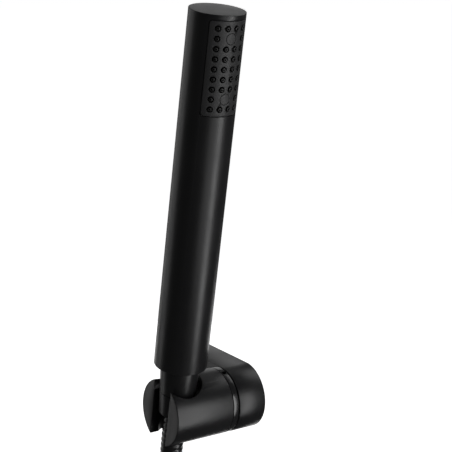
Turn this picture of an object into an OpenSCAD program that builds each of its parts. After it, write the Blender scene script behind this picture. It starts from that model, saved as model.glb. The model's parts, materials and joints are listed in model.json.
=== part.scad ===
// Stick hand shower on a swivelling wall bracket, with its hose coiled for storage.
// The wall is the plane y = 0, the room is towards -Y and +Z is up.
// The origin is the middle of the bracket's back face.

/* [Handset] */
// Outer diameter of the handset tube
handset_d = 32; // [28:0.5:38]
// Length of the handset from its foot to the top of the end cap
handset_l = 215; // [180:1:260]
// Wall of the handset tube
tube_wall = 1.5; // [1:0.1:2]
// Thickness of the end cap's visible disc
cap_t = 1; // [0.8:0.1:2]

/* [Spray face] */
// Width of the spray face insert, measured straight across
face_w = 23.8; // [19:0.1:26]
// Length of the spray face insert
face_l = 53.2; // [51:0.1:64]
// Distance from the top of the handset to the insert
face_top = 3; // [2.6:0.1:10]
// Thickness of the insert
face_t = 2.9; // [2.6:0.1:3.4]
// Rows of nozzles
nozzle_rows = 9; // [7:1:9]
// Distance between two rows
row_pitch = 5.6; // [4.6:0.05:5.7]
// Angle between two nozzle columns, seen from the top
column_angle = 20; // [17:0.5:21]
// Diameter of a nozzle's rubber tip
nozzle_d = 2.4; // [1.8:0.1:2.8]
// How far the tips stand out of the insert
nozzle_out = 0.6; // [0.2:0.1:1]
// Diameter of the two round screw covers
cover_d = 6; // [5:0.1:7]

/* [Hose connection] */
// Length of the conical nut with its lower sleeve
nut_l = 33.2; // [32:0.1:40]
// Diameter at the top of the conical nut
nut_top_d = 24; // [23:0.1:25]
// Diameter at the foot of the conical sleeve
nut_foot_d = 20.3; // [19.9:0.1:21.5]
// Outer diameter of the hose
hose_d = 14; // [13:0.5:14.5]
// Inner diameter of the hose
hose_bore = 8.8; // [7:0.1:9]

/* [Bracket] */
// Distance from the wall to the swivel axis
wall_gap = 48; // [44:1:60]
// Diameter of the bracket and its swivelling holder
bracket_d = 41; // [40:0.5:54]
// Width of the fixed bracket body along the swivel axis
bracket_w = 19; // [18:0.5:30]
// Wall of the fixed bracket body
bracket_wall = 2.5; // [2:0.1:3]
// Length of the swivelling holder without its trim ring
holder_l = 40; // [39:0.5:50]
// Width of the trim ring
ring_w = 3.8; // [3.6:0.1:5]
// Dark groove between the bracket body and the trim ring
groove_w = 0.8; // [0.4:0.1:1.5]
// Distance from the holder's end face to the middle of the socket
socket_inset = 11.1; // [10.8:0.1:12.5]
// Width of the slot that lets the hose out
slot_w = 17.2; // [15.5:0.1:18]
// Diameter of the swivel spindle
spindle_d = 12; // [10:0.5:13]
// Lean of the handset away from the wall at rest, in degrees
lean = 9; // [0:1:15]
// Distance between the two wall screws
screw_pitch = 20; // [18:0.5:20]

/* [Hidden] */
$fn = 64;

// Finishes
satin_black = [0.05, 0.05, 0.055];
gloss_black = [0.10, 0.10, 0.11];
rubber_black = [0.03, 0.03, 0.03];
grey_plastic = [0.55, 0.56, 0.58];
brass_tone = [0.72, 0.58, 0.30];
steel_tone = [0.62, 0.63, 0.65];

// Clearances
fit_gap = 0.1;      // still pieces that fit into each other
run_gap = 0.05;     // a shaft that turns in its bore, on the radius
seat_gap = 0.3;     // the conical nut in its socket
hair_seam = 0.2;    // visible hair line between two visible pieces
cut = 1;            // how far a cut runs past a face
o_ring_r = 0.55;    // section radius of the small O-rings

// Handset levels, measured up the handset's axis from the swivel axis
nut_foot = -2;
tube_foot = nut_foot + nut_l;
handset_top = tube_foot + handset_l;
cap_foot = handset_top - cap_t;
cap_spigot = face_top - cap_t - seat_gap;
face_high = handset_top - face_top;
face_low = face_high - face_l;
first_row = handset_top - face_top - (face_l - (nozzle_rows - 1) * row_pitch) / 2;
tube_r = handset_d / 2;
bore_r = tube_r - tube_wall;

// Spray face layers, from the outside in
face_in = tube_r - face_t;
mat_t = 1;
mat_out = face_in - fit_gap;
mat_in = mat_out - mat_t;
chamber_front = mat_in - fit_gap;
chamber_wall = 2.2;
cavity_r = chamber_front - chamber_wall;
chamber_r = bore_r - seat_gap;
chamber_high = cap_foot - cap_spigot - seat_gap;
chamber_floor = 9;
chamber_step = 3;
chamber_low = face_low - chamber_step - chamber_floor;
cover_t = 1;
face_screw_r = 1;
face_screw_head_r = 2.1;
face_screw_head_h = 1.2;
nozzle_ring = 0.55;
jet_r = 0.4;
cover_rows = [1, nozzle_rows - 2];
columns = [-1.5, -0.5, 0.5, 1.5];
nozzles = [
  for (row = [0 : nozzle_rows - 1])
    for (c = columns)
      if (!(abs(c) < 1 && (row == cover_rows[0] || row == cover_rows[1])))
        [c * column_angle, first_row - row * row_pitch]
];

// Water way
pipe_r = 5;
pipe_wall = 1.4;
pipe_seat = 7;
pipe_o_at = 3.5;
plug_h = 16;
plug_socket = 10;
stub_l = 10.4;
stub_r = 10.3;
thread_r = 10.4;
stub_foot = tube_foot - stub_l;
plug_foot = tube_foot + seat_gap;
plug_high = plug_foot + plug_h;
pipe_low = plug_high - plug_socket + fit_gap;
pipe_high = chamber_low + pipe_seat - fit_gap;
regulator_r = 8;
regulator_h = 6;
filter_h = 2;

// Conical nut and hose tail
split_h = 13;
tail_flange_h = 1.8;
tail_flange_high = stub_foot - filter_h - 2 * fit_gap;
tail_flange_low = tail_flange_high - tail_flange_h;
tail_flange_r = 9.3;
tail_shaft_r = 6;
tail_bore_r = 3;
sleeve_bore_r = hose_d / 2 + 1.5;
sleeve_web = 9;
barb_low = -8;
barb_high = 4;
hose_r = hose_d / 2;

// Places along the swivel axis
ring_gap = 0.2;
ring_right = -bracket_w / 2 - groove_w;
ring_left = ring_right - ring_w;
holder_right = ring_left - ring_gap;
holder_left = holder_right - holder_l;
socket_x = holder_left + socket_inset;
holder_r = bracket_d / 2;
ring_seat_r = holder_r - 2;

// Socket, measured up the handset's axis
rim_r = nut_top_d / 2 + 2.3;
liner_r = nut_top_d / 2 + 1.3;
liner_high = 12;
ledge_high = nut_foot - fit_gap;
ledge_t = 3;
liner_low = ledge_high - ledge_t;
ledge_r = hose_r + 1.6;
exit_r = hose_r + 3;

// Swivel
spindle_r = spindle_d / 2;
spindle_flange_r = 10;
spindle_flange_h = 3;
shell_in = -bracket_w / 2 + bracket_wall;
washer_h = 1;
web_t = 3;
lock_h = 1.2;
screw_head_h = 3;
// From the socket's liner towards the wall bracket: screw head, spring washer, web, washer, spindle
web_left = socket_x + liner_r + seat_gap + screw_head_h + lock_h + fit_gap;
web_right = web_left + web_t;
spindle_left = web_right + washer_h + fit_gap;
screw_head_r = 4.3;
screw_r = 2.45;

// Wall fixing
plate_t = 3;
plate_half_w = bracket_w / 2 - bracket_wall - hair_seam;
plate_half_h = holder_r - bracket_wall - seat_gap;
screw_mid_z = 3;
wall_screw_r = 2.1;
wall_screw_head_r = 4;
wall_screw_head_h = 2.6;
plug_l = 30;
plug_r = 3;
plug_sunk = 2.5;
lug_y = 8;
lug_half = 4;
lug_h = 6;
grub_r = 2;
tilt_screw_r = 1.5;
tilt_screw_angle = 17;

// Hose route, measured from the middle of the socket: straight out of the nut, then down
socket_mid = [socket_x, -wall_gap, 0];
hang_y = 7;
hang_z = -54;
joint_gap = 2.4;
joint_ball_r = hose_r - 0.8;
lead_points = [
  [0, -3 * sin(lean), 3 * cos(lean)], [0, 12 * sin(lean), -12 * cos(lean)],
  [0, 3.5, -22], [0, 4.9, -32], [0, 6.1, -41], [0, 6.8, -47.5], [0, hang_y, hang_z + joint_gap]
];
drop_points = [
  [0, hang_y, hang_z - joint_gap], [0, hang_y, -68], [-0.7, hang_y, -78], [-2.6, hang_y, -88],
  [-5.9, hang_y, -97.5], [-10.3, hang_y, -106.5], [-15.9, hang_y, -115],
  [-22.6, hang_y, -122.5], [-31.7, hang_y, -130.5], [-43.1, hang_y, -137]
];
end_points = [
  [0, hang_y, -288.3], [16.3, 5.4, -285.6], [31.1, 1.3, -278.8], [43.5, -4, -268.5],
  [52.7, -9.3, -255.5], [58.2, -13.4, -240.5], [59.7, -15, -225], [59.7, -15, -213],
  [59.7, -15, -202], [59.7, -15, -191]
];

// Coil, a flat spiral hanging parallel to the wall
coil_mid = socket_mid + [0, hang_y, -225];
coil_out = 98 + hose_r;
coil_in = 61 - hose_r;
tie_angles = [140, 255];
tie_w = 12;
tie_t = 1.6;
tie_gap = 0.8;

// Far end of the hose, pointing up beside the coil
outlet = socket_mid + [59.7, -15, 0];
ferrule_low = -205;
ferrule_l = 16;
outlet_end = -191;
outlet_nut_low = -188.5;
outlet_nut_l = 17;
outlet_nut_af = 24;
outlet_floor = 4;
outlet_thread_r = 10.5;
outlet_relief_r = 11;
outlet_collar_r = 7;
outlet_flange_r = 9.8;
outlet_flange_h = 2;
outlet_washer_h = 2;
outlet_shelf = outlet_nut_low + outlet_floor;
outlet_thread_low = outlet_shelf + outlet_flange_h + outlet_washer_h + 2 * fit_gap;

// ---- helpers ----

// Radius of the nut's outer cone at a height on the handset's axis
function cone_r(h) = (nut_foot_d + (nut_top_d - nut_foot_d) * (h - nut_foot) / nut_l) / 2;

// Puts a piece on the leaning handset axis, with z = 0 at the swivel axis
module on_axis() {
  translate([socket_x, -wall_gap, 0]) rotate([lean, 0, 0]) children();
}

// Puts a piece on the swivel axis, with its own z running along X from x
module on_swivel(x) {
  translate([x, -wall_gap, 0]) rotate([0, 90, 0]) children();
}

// Points a piece's z out of the spray face at an angle and a height
module out_of_face(angle, h) {
  translate([0, 0, h]) rotate([0, 0, angle]) rotate([90, 0, 0]) children();
}

// Tube from a to b along z
module pipe(r_out, r_in, a, b) {
  translate([0, 0, a]) difference() {
    cylinder(r = r_out, h = b - a);
    translate([0, 0, -cut]) cylinder(r = r_in, h = b - a + 2 * cut);
  }
}

// Solid rod from a to b along z
module rod(r, a, b) {
  translate([0, 0, a]) cylinder(r = r, h = b - a);
}

module o_ring(major_r, minor_r, h) {
  translate([0, 0, h]) rotate_extrude() translate([major_r, 0]) circle(r = minor_r, $fn = 24);
}

// Flat rectangle with round corners, centred
module rounded_rect(w, l, r) {
  square([w - 2 * r, l], center = true);
  square([w, l - 2 * r], center = true);
  for (x = [-1, 1]) for (y = [-1, 1]) {
    translate([x * (w / 2 - r), y * (l / 2 - r)]) circle(r = r, $fn = 32);
  }
}

// Block that reaches out through the spray face, with the face's outline made bigger by grow
module face_slab(grow, depth) {
  translate([0, 0, (face_low + face_high) / 2]) rotate([90, 0, 0]) {
    linear_extrude(height = depth) rounded_rect(face_w + 2 * grow, face_l + 2 * grow, 2);
  }
}

// Side profile of the fixed bracket: round towards the room, straight to the wall
module bracket_profile(r, reach) {
  translate([-wall_gap, 0]) circle(r = r, $fn = 96);
  translate([-wall_gap, -r]) square([reach, 2 * r]);
}

module extrude_x(x0, x1) {
  translate([x0, 0, 0]) rotate([90, 0, 90]) linear_extrude(height = x1 - x0) children();
}

// ---- hose sweep ----

function unit(v) = v / norm(v);
function route_dir(p, i) = unit(p[min(i + 1, len(p) - 1)] - p[max(i - 1, 0)]);
function side_of(d) = unit(cross(d, [0, 1, 0]));

// One ring of points round the route at each of its points, then flat ends.
// The route is measured from the middle of the socket
module hose_along(p, r, sides = 10) {
  n = len(p);
  points = [
    for (i = [0 : n - 1])
      let (d = route_dir(p, i), a = side_of(d), b = cross(d, a))
        for (k = [0 : sides - 1])
          socket_mid + p[i] + r * (cos(360 * k / sides) * a + sin(360 * k / sides) * b)
  ];
  walls = [
    for (i = [0 : n - 2])
      for (k = [0 : sides - 1])
        let (m = (k + 1) % sides)
          [i * sides + k, i * sides + m, (i + 1) * sides + m, (i + 1) * sides + k]
  ];
  ends = [
    [for (k = [0 : sides - 1]) sides - 1 - k],
    [for (k = [0 : sides - 1]) (n - 1) * sides + k]
  ];
  polyhedron(points = points, faces = concat(walls, ends), convexity = 4);
}

// ---- handset ----

module handle_tube() color(satin_black) on_axis() {
  bevel = 0.35;
  difference() {
    rotate_extrude($fn = 128) polygon([
      [bore_r, tube_foot], [tube_r - bevel, tube_foot], [tube_r, tube_foot + bevel],
      [tube_r, cap_foot], [bore_r, cap_foot]
    ]);
    face_slab(0, tube_r + cut);
  }
}

module end_cap() color(satin_black) on_axis() {
  bevel = 0.35;
  spigot_wall = 1.8;
  rotate_extrude($fn = 128) polygon([
    [0, cap_foot], [bore_r - fit_gap - spigot_wall, cap_foot],
    [bore_r - fit_gap - spigot_wall, cap_foot - cap_spigot],
    [bore_r - fit_gap, cap_foot - cap_spigot], [bore_r - fit_gap, cap_foot],
    [tube_r, cap_foot], [tube_r, handset_top - bevel], [tube_r - bevel, handset_top],
    [0, handset_top]
  ]);
}

module spray_face() color([0.12, 0.12, 0.13]) on_axis() {
  difference() {
    intersection() {
      pipe(tube_r, face_in, face_low - cut, face_high + cut);
      face_slab(-hair_seam / 2, tube_r + cut);
    }
    for (n = nozzles) {
      out_of_face(n[0], n[1]) rod(nozzle_d / 2 + nozzle_ring, face_in - cut, tube_r + cut);
    }
    for (row = cover_rows) out_of_face(0, first_row - row * row_pitch) {
      rod(face_screw_r + fit_gap, face_in - cut, tube_r + cut);
      rod(face_screw_head_r + fit_gap, tube_r - cover_t - face_screw_head_h - fit_gap, tube_r + cut);
      rod(cover_d / 2 + fit_gap, tube_r - cover_t - fit_gap, tube_r + cut);
    }
  }
}

module nozzle_mat() color(rubber_black) on_axis() {
  margin = 1;
  tip_h = 0.5;
  tip_r = nozzle_d / 2 - 0.25;
  difference() {
    union() {
      intersection() {
        pipe(mat_out, mat_in, face_low, face_high);
        face_slab(-margin, tube_r + cut);
      }
      for (n = nozzles) out_of_face(n[0], n[1]) {
        rod(nozzle_d / 2, mat_in + mat_t / 2, tube_r + nozzle_out - tip_h);
        translate([0, 0, tube_r + nozzle_out - tip_h]) {
          cylinder(r1 = nozzle_d / 2, r2 = tip_r, h = tip_h);
        }
      }
    }
    for (n = nozzles) out_of_face(n[0], n[1]) rod(jet_r, mat_in - cut, tube_r + 2 * cut);
    for (row = cover_rows) {
      out_of_face(0, first_row - row * row_pitch) rod(face_screw_r + fit_gap, mat_in - cut, tube_r);
    }
  }
}

module screw_covers() color([0.12, 0.12, 0.13]) on_axis() {
  for (row = cover_rows) intersection() {
    out_of_face(0, first_row - row * row_pitch) rod(cover_d / 2, tube_r - cover_t, tube_r + cut);
    rod(tube_r, face_low, face_high, $fn = 256);
  }
}

module face_screws() color(steel_tone) on_axis() {
  head = tube_r - cover_t - face_screw_head_h;
  for (row = cover_rows) out_of_face(0, first_row - row * row_pitch) {
    rod(face_screw_r, head - 8, head);
    rod(face_screw_head_r, head, head + face_screw_head_h - fit_gap);
  }
}

module water_chamber() color(grey_plastic) on_axis() {
  pillar_r = 2.5;
  screw_bore = face_screw_r + run_gap;
  difference() {
    union() {
      difference() {
        rod(chamber_r, chamber_low, chamber_high);
        rod(cavity_r, face_low + 1, chamber_high - 2);
        difference() {
          face_slab(fit_gap, tube_r + cut);
          rod(chamber_front, face_low - cut, face_high + cut);
        }
        // Leaves the chamber's step open at the top so that the insert can be slid in
        translate([-face_w / 2 - fit_gap, -tube_r - cut, face_high - cut - 1.5]) difference() {
          cube([face_w + 2 * fit_gap, tube_r + cut, face_top]);
          translate([face_w / 2 + fit_gap, tube_r + cut, -cut]) cylinder(r = chamber_front, h = 10);
        }
      }
      for (row = cover_rows) {
        out_of_face(0, first_row - row * row_pitch) rod(pillar_r, -cavity_r - 1, chamber_front - 1);
      }
    }
    for (n = nozzles) out_of_face(n[0], n[1]) rod(nozzle_d / 2, cavity_r - 2, tube_r);
    for (row = cover_rows) {
      out_of_face(0, first_row - row * row_pitch) rod(screw_bore, 4, tube_r);
    }
    rod(pipe_r + run_gap, chamber_low - cut, chamber_low + pipe_seat);
    rod(pipe_r - pipe_wall, chamber_low, face_low + 2);
  }
}

module water_pipe() color(grey_plastic) on_axis() {
  groove = 1.2;
  difference() {
    pipe(pipe_r, pipe_r - pipe_wall, pipe_low, pipe_high);
    for (h = [pipe_low + pipe_o_at, pipe_high - pipe_o_at]) {
      pipe(pipe_r + cut, pipe_r - 2 * o_ring_r, h - groove / 2, h + groove / 2);
    }
  }
}

module pipe_o_rings() color(rubber_black) on_axis() {
  for (h = [pipe_low + pipe_o_at, pipe_high - pipe_o_at]) {
    o_ring(pipe_r - o_ring_r + run_gap / 2, o_ring_r - run_gap, h);
  }
}

module inlet_fitting() color(brass_tone) on_axis() {
  plug_out = bore_r - run_gap;
  groove_mid = plug_high - 4;
  groove_half = 0.8;
  difference() {
    union() {
      rod(plug_out, plug_foot, plug_high);
      rod(stub_r, stub_foot, plug_foot + cut);
    }
    rod(pipe_r + run_gap, plug_high - plug_socket, plug_high + cut);
    rod(pipe_r - pipe_wall, stub_foot, plug_high);
    rod(regulator_r, stub_foot - cut, stub_foot + regulator_h);
    pipe(plug_out + cut, plug_out - 1.5, groove_mid - groove_half, groove_mid + groove_half);
  }
}

module inlet_o_ring() color(rubber_black) on_axis() {
  ring_r = 0.65;
  o_ring(bore_r - run_gap - ring_r - run_gap, ring_r, plug_high - 4);
}

module flow_regulator() color(grey_plastic) on_axis() {
  pipe(regulator_r - fit_gap, 2, stub_foot + fit_gap, stub_foot + regulator_h - fit_gap);
}

module filter_washer() color(rubber_black) on_axis() {
  pipe(stub_r - fit_gap, 5, stub_foot - filter_h - fit_gap, stub_foot - fit_gap);
}

// ---- hose connection ----

module cone_nut() color(satin_black) on_axis() {
  low = split_h + hair_seam / 2;
  high = tube_foot - seat_gap;
  bevel = 0.3;
  rotate_extrude($fn = 96) polygon([
    [tail_shaft_r + run_gap, low], [cone_r(low) - bevel, low], [cone_r(low), low + bevel],
    [cone_r(high), high - bevel], [cone_r(high) - bevel, high],
    [thread_r, high], [thread_r, tail_flange_high + fit_gap],
    [tail_flange_r + run_gap, tail_flange_high + fit_gap],
    [tail_flange_r + run_gap, tail_flange_low - run_gap],
    [tail_shaft_r + run_gap, tail_flange_low - run_gap]
  ]);
}

module cone_sleeve() color(satin_black) on_axis() {
  high = split_h - hair_seam / 2;
  bevel = 0.3;
  foot_bevel = 1;
  rotate_extrude($fn = 96) polygon([
    [sleeve_bore_r, nut_foot], [cone_r(nut_foot) - foot_bevel, nut_foot],
    [cone_r(nut_foot + foot_bevel), nut_foot + foot_bevel],
    [cone_r(high), high - bevel], [cone_r(high) - bevel, high],
    [tail_shaft_r + fit_gap, high], [tail_shaft_r + fit_gap, sleeve_web],
    [sleeve_bore_r, sleeve_web]
  ]);
}

module hose_tail() color(brass_tone) on_axis() {
  groove_mid = tail_flange_low - 2;
  difference() {
    union() {
      rod(tail_shaft_r, barb_high, tail_flange_low + cut / 2);
      rod(tail_flange_r, tail_flange_low, tail_flange_high);
      rod(hose_bore / 2, barb_low, barb_high + cut);
    }
    rod(tail_bore_r, barb_low - cut, tail_flange_high + cut);
    pipe(tail_shaft_r + cut, tail_shaft_r - 2 * o_ring_r, groove_mid - 0.6, groove_mid + 0.6);
  }
}

module tail_o_ring() color(rubber_black) on_axis() {
  o_ring(tail_shaft_r - o_ring_r + run_gap / 2, o_ring_r - run_gap, tail_flange_low - 2);
}

module tail_ferrule() color(steel_tone) on_axis() {
  pipe(sleeve_bore_r - fit_gap, hose_r + 2 * fit_gap, nut_foot + 0.5, sleeve_web - 1);
}

module at_joint() translate(socket_mid + [0, hang_y, hang_z]) children();

module hose_lead() color(satin_black) difference() {
  hose_along(lead_points, hose_r);
  at_joint() sphere(r = joint_ball_r + fit_gap);
}

// Ball that stands for the stretch where the hose flexes
module hose_bend() color(satin_black) at_joint() sphere(r = joint_ball_r);

// ---- hanging hose ----

module hose_drop() color(satin_black) difference() {
  hose_along(drop_points, hose_r);
  at_joint() sphere(r = joint_ball_r + fit_gap);
}

module hose_coil() color(satin_black) translate(coil_mid) rotate([90, 0, 0]) {
  rotate_extrude($fn = 128) {
    translate([coil_in + hose_r, -hose_r]) square([coil_out - coil_in - hose_d, hose_d]);
    for (r = [coil_in + hose_r, coil_out - hose_r]) translate([r, 0]) circle(r = hose_r, $fn = 32);
  }
}

// Two straps round the coil, each a flat loop
module coil_ties() color(rubber_black) translate(coil_mid) {
  in_half = (coil_out - coil_in) / 2 + tie_gap;
  in_deep = hose_r + tie_gap;
  mid_r = (coil_out + coil_in) / 2;
  for (a = tie_angles) rotate([90, 0, 0]) rotate([0, 0, a]) translate([mid_r, 0, 0]) {
    difference() {
      cube([2 * (in_half + tie_t), tie_w, 2 * (in_deep + tie_t)], center = true);
      cube([2 * in_half, tie_w + 2 * cut, 2 * in_deep], center = true);
    }
  }
}

module hose_end_run() color(satin_black) hose_along(end_points, hose_r);

module at_outlet() translate(outlet) children();

module outlet_ferrule() color(satin_black) at_outlet() {
  pipe(hose_r + 2, hose_r + fit_gap, ferrule_low, ferrule_low + ferrule_l);
}

module outlet_tail() color(brass_tone) at_outlet() {
  difference() {
    union() {
      rod(hose_bore / 2, outlet_end - 12, outlet_end + cut);
      rod(outlet_collar_r, outlet_end + fit_gap, outlet_shelf + cut);
      rod(outlet_flange_r, outlet_shelf + fit_gap, outlet_shelf + fit_gap + outlet_flange_h);
    }
    rod(tail_bore_r, outlet_end - 14, outlet_shelf + 2 * outlet_flange_h);
  }
}

module outlet_washer() color(rubber_black) at_outlet() {
  low = outlet_shelf + outlet_flange_h + 2 * fit_gap;
  pipe(outlet_thread_r - 2 * fit_gap, 5, low, low + outlet_washer_h);
}

module outlet_nut() color(satin_black) at_outlet() {
  difference() {
    translate([0, 0, outlet_nut_low]) {
      cylinder(d = outlet_nut_af / cos(30), h = outlet_nut_l, $fn = 6);
    }
    rod(outlet_collar_r + run_gap, outlet_nut_low - cut, outlet_nut_low + outlet_nut_l);
    rod(outlet_relief_r, outlet_shelf, outlet_thread_low);
    rod(outlet_thread_r, outlet_thread_low - cut, outlet_nut_low + outlet_nut_l + cut);
  }
}

// ---- swivelling holder ----

// Slot through the holder's end face, from the socket outwards
module slot_cut(w, low, high) {
  translate([-holder_l, -w / 2, low]) cube([holder_l, w, high - low]);
}

module swivel_holder() color(satin_black) {
  bevel = 0.6;
  reach = bracket_d;
  difference() {
    on_swivel(holder_left) rotate_extrude($fn = 128) polygon([
      [0, 0], [holder_r - bevel, 0], [holder_r, bevel], [holder_r, holder_l],
      [ring_seat_r, holder_l], [ring_seat_r, holder_l + ring_gap + ring_w],
      [0, holder_l + ring_gap + ring_w]
    ]);
    on_axis() {
      rod(liner_r + run_gap, liner_low, reach);
      rod(rim_r, liner_high + fit_gap, reach);
      rod(exit_r, -reach, liner_low + cut);
      slot_cut(slot_w, -reach, reach);
    }
    on_swivel(web_right) rod(spindle_r + run_gap, 0, holder_l);
    on_swivel(web_left) rod(screw_r + fit_gap, -cut, web_t + cut);
    on_swivel(socket_x) rod(screw_head_r + fit_gap, 0, web_left - socket_x);
    tilt_screw_axis() rod(tilt_screw_r + fit_gap, 0, holder_r + cut);
  }
}

// Axis of the set screw that holds the tilt, through the middle of the trim ring
module tilt_screw_axis() {
  translate([(ring_left + ring_right) / 2, -wall_gap, 0]) {
    rotate([tilt_screw_angle, 0, 0]) children();
  }
}

module tilt_set_screw() color(steel_tone) tilt_screw_axis() {
  socket_r = 0.9;
  high = holder_r - 3.4;
  difference() {
    rod(tilt_screw_r, spindle_r + fit_gap, high);
    translate([0, 0, high - 2]) cylinder(r = socket_r, h = 2 + cut, $fn = 6);
  }
}

module trim_ring() color(gloss_black) difference() {
  bevel = 0.25;
  on_swivel(ring_left) rotate_extrude($fn = 128) polygon([
    [ring_seat_r + fit_gap, 0], [holder_r - bevel, 0], [holder_r, bevel],
    [holder_r, ring_w - bevel], [holder_r - bevel, ring_w], [ring_seat_r + fit_gap, ring_w]
  ]);
  tilt_screw_axis() rod(tilt_screw_r + fit_gap, ring_seat_r - cut, holder_r + cut);
}

// Plastic cup with a conical seat and a ledge that the sleeve's foot stands on
module socket_liner() color(rubber_black) on_axis() difference() {
  rotate_extrude($fn = 96) polygon([
    [ledge_r, liner_low], [liner_r, liner_low], [liner_r, liner_high],
    [cone_r(liner_high) + seat_gap, liner_high], [cone_r(nut_foot) + seat_gap, ledge_high],
    [ledge_r, ledge_high]
  ]);
  slot_cut(slot_w, liner_low - cut, liner_high + cut);
}

// ---- fixed bracket ----

module bracket_body() color(satin_black) {
  difference() {
    extrude_x(-bracket_w / 2, bracket_w / 2) bracket_profile(holder_r, wall_gap);
    extrude_x(shell_in, -shell_in) {
      bracket_profile(holder_r - bracket_wall, wall_gap + cut);
    }
    on_swivel(-bracket_w / 2) rod(spindle_r + run_gap, -cut, bracket_wall + cut);
    translate([0, -lug_y, 0]) rod(grub_r + fit_gap, -holder_r - cut, 0);
  }
}

module wall_plate() color(steel_tone) difference() {
  union() {
    translate([-plate_half_w, -plate_t, -plate_half_h]) {
      cube([2 * plate_half_w, plate_t, 2 * plate_half_h]);
    }
    translate([-plate_half_w, -lug_y - lug_half, -plate_half_h]) {
      cube([2 * plate_half_w, lug_y + lug_half - plate_t / 2, lug_h]);
    }
  }
  for (s = [-1, 1]) translate([0, 0, screw_mid_z + s * screw_pitch / 2]) rotate([90, 0, 0]) {
    rod(wall_screw_r + 2 * fit_gap, -cut, plate_t + cut);
  }
  translate([0, -lug_y, 0]) rod(grub_r + run_gap, -plate_half_h - cut, -plate_half_h + lug_h + cut);
}

// Turns z towards the wall at each of the two screw places
module at_wall_screws() {
  for (s = [-1, 1]) translate([0, 0, screw_mid_z + s * screw_pitch / 2]) {
    rotate([-90, 0, 0]) children();
  }
}

module wall_screws() color(steel_tone) at_wall_screws() difference() {
  union() {
    rod(wall_screw_r, -plate_t - cut / 2, plug_l);
    rod(wall_screw_head_r, -plate_t - wall_screw_head_h - run_gap, -plate_t - run_gap);
  }
  translate([-3, -0.5, -plate_t - wall_screw_head_h - cut]) cube([6, 1, cut + 1.2]);
}

module wall_plugs() color(grey_plastic) at_wall_screws() {
  pipe(plug_r, wall_screw_r + run_gap, plug_sunk, plug_sunk + plug_l);
}

module plate_grub_screw() color(steel_tone) translate([0, -lug_y, 0]) {
  low = -holder_r + 0.8;
  difference() {
    rod(grub_r, low, -plate_half_h + lug_h - 0.5);
    translate([0, 0, low - cut]) cylinder(r = 1.1, h = cut + 2, $fn = 6);
  }
}

// ---- swivel ----

module swivel_spindle() color(brass_tone) on_swivel(spindle_left) {
  body = shell_in - spindle_left;
  difference() {
    union() {
      rod(spindle_r, 0, body + cut);
      rod(spindle_flange_r, body + run_gap, body + spindle_flange_h);
    }
    rod(screw_r + run_gap, -cut, body + spindle_flange_h + cut);
  }
}

module swivel_screw() color(steel_tone) on_swivel(web_left - lock_h - fit_gap) {
  difference() {
    union() {
      rod(screw_r, -0.5, shell_in - web_left + lock_h);
      rod(screw_head_r, -screw_head_h, 0);
    }
    translate([0, 0, -screw_head_h - cut]) cylinder(r = 2, h = cut + 2, $fn = 6);
  }
}

module friction_washer() color(rubber_black) on_swivel(web_right) {
  pipe(spindle_r - 2 * run_gap, screw_r + fit_gap, run_gap, washer_h + run_gap);
}

module spring_washer() color(steel_tone) on_swivel(web_left - lock_h) {
  pipe(screw_head_r - fit_gap, screw_r + fit_gap, 0, lock_h - run_gap);
}

handle_tube();
end_cap();
spray_face();
nozzle_mat();
screw_covers();
face_screws();
water_chamber();
water_pipe();
pipe_o_rings();
inlet_fitting();
inlet_o_ring();
flow_regulator();
filter_washer();
cone_nut();
cone_sleeve();
hose_tail();
tail_o_ring();
tail_ferrule();
hose_lead();
hose_bend();
hose_drop();
hose_coil();
coil_ties();
hose_end_run();
outlet_ferrule();
outlet_tail();
outlet_washer();
outlet_nut();
swivel_holder();
socket_liner();
trim_ring();
tilt_set_screw();
bracket_body();
wall_plate();
wall_screws();
wall_plugs();
plate_grub_screw();
swivel_spindle();
swivel_screw();
friction_washer();
spring_washer();
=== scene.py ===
import bmesh
import bpy
import json
import math
import numpy as np
from mathutils import Matrix, Quaternion, Vector


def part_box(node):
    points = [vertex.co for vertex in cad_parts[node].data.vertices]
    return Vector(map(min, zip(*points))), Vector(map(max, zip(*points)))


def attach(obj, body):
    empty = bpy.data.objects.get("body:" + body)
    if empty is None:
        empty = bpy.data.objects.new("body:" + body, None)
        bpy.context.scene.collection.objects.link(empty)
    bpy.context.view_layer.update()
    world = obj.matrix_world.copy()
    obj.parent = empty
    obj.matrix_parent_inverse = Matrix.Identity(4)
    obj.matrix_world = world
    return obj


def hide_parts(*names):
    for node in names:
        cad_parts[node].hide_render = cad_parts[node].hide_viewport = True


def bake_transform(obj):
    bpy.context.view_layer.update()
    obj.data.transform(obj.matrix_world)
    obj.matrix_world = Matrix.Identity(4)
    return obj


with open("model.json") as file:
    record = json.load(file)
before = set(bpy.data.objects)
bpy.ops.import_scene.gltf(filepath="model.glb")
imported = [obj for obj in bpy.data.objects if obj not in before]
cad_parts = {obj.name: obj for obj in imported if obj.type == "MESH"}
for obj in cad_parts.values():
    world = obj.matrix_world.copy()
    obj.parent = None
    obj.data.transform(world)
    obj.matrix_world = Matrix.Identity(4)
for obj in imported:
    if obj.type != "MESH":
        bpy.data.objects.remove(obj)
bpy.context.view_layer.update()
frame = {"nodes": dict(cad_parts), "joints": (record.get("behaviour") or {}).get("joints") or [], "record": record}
joints = {joint["name"]: joint for joint in frame["joints"]}
mm = 0.001


# The handset's own axis: a point on it, at the height of the swivel, and its direction
axisPoint = Vector(joints["handset_turn"]["pos_m"])
axisDir = Vector(joints["handset_turn"]["axis"]).normalized()
leanAngle = math.atan2(-axisDir.y, axisDir.z)
onHandset = Matrix.Translation(axisPoint) @ Matrix.Rotation(leanAngle, 4, "X")
offHandset = onHandset.inverted()
swivelPoint = Vector((0, axisPoint.y, axisPoint.z))
onSwivel = Matrix.Translation(swivelPoint) @ Matrix.Rotation(math.pi / 2, 4, "Y")  # its z runs along X


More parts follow.
